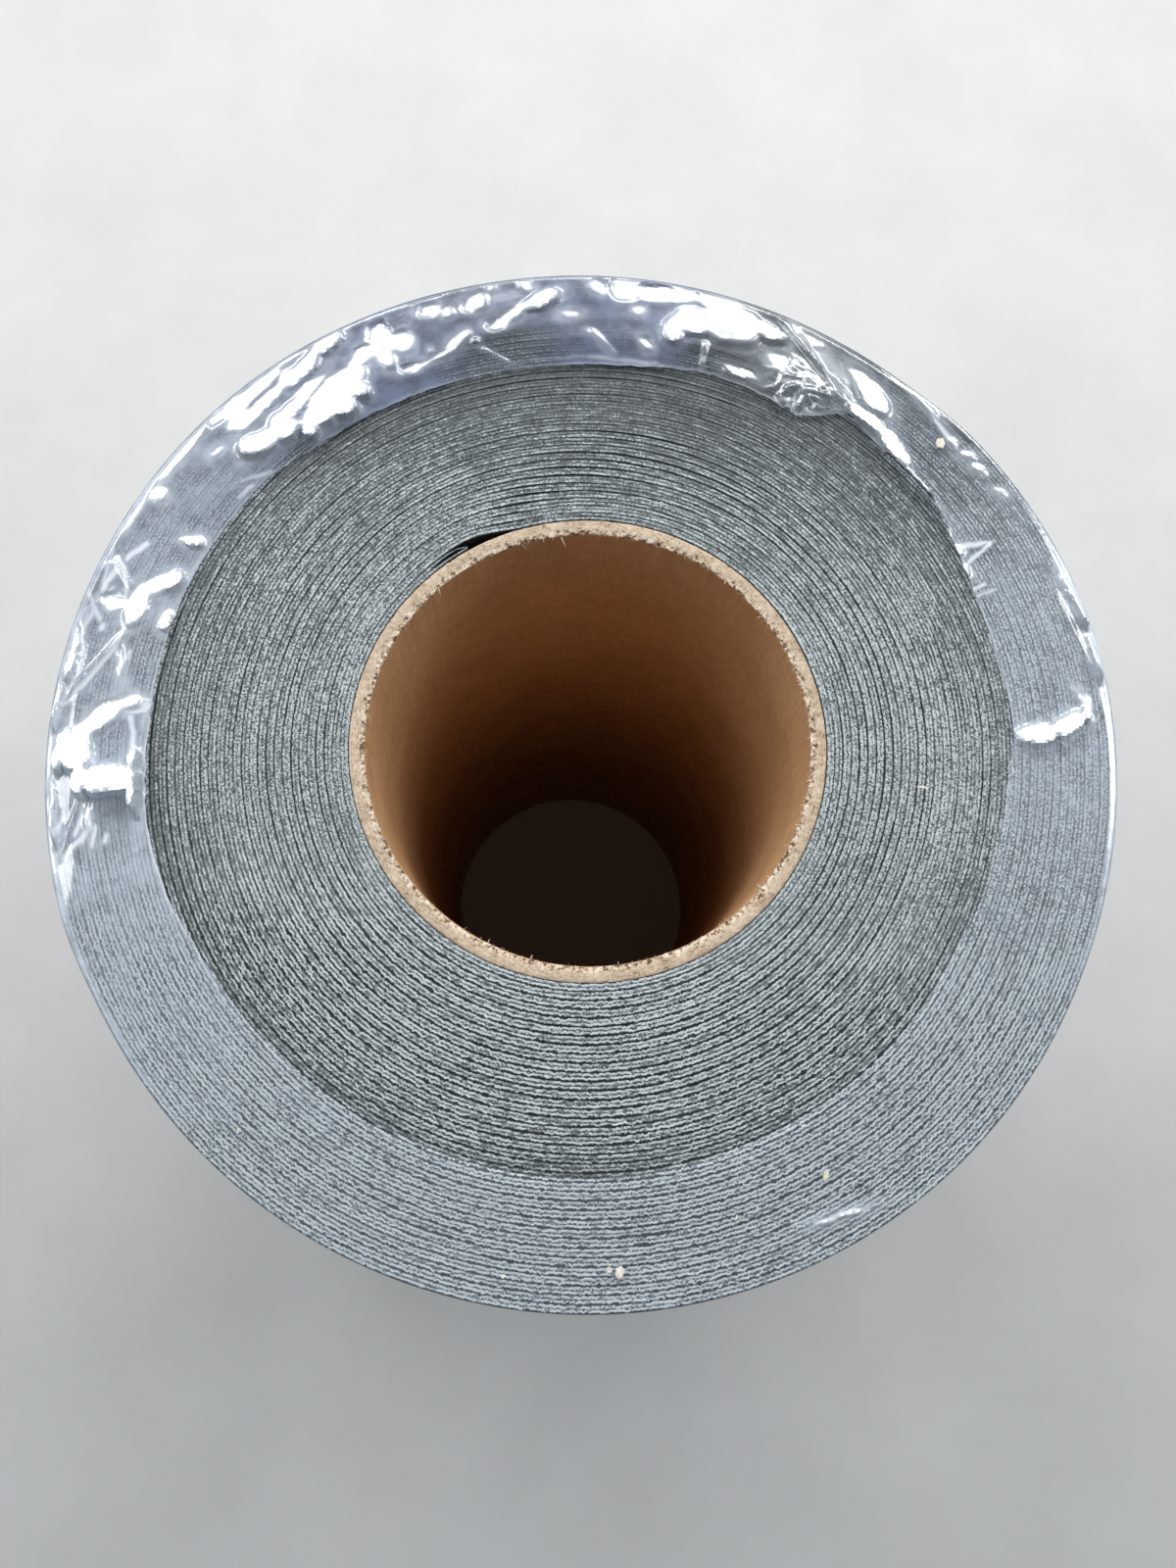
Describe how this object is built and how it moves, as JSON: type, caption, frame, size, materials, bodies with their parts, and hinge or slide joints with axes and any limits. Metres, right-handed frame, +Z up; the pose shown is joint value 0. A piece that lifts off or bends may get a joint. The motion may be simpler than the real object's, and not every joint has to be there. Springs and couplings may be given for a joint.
{
  "type": "roll of damp proof course",
  "caption": "Roll of embossed polythene damp proof course wound on a paperboard tube, standing on end in a clear shrunk film sleeve.",
  "frame": {"origin": "middle of the bottom end, where the film's lower face meets the floor", "axes": "+Z up along the roll's axis, out of the end that the picture shows; +X is the picture's right and +Y its top"},
  "size_m": [0.1824, 0.1824, 0.2261],
  "materials": {
    "paperboard": "matt, fibrous cut ends",
    "polythene_sheet": "embossed, dull sheen on the face, grey cut edges",
    "clear_film": "glossy, shrunk and creased"
  },
  "bodies": {
    "root": {"core_tube": "paperboard", "membrane_roll": "polythene_sheet", "wrap_film": "clear_film"}
  },
  "joints": []
}
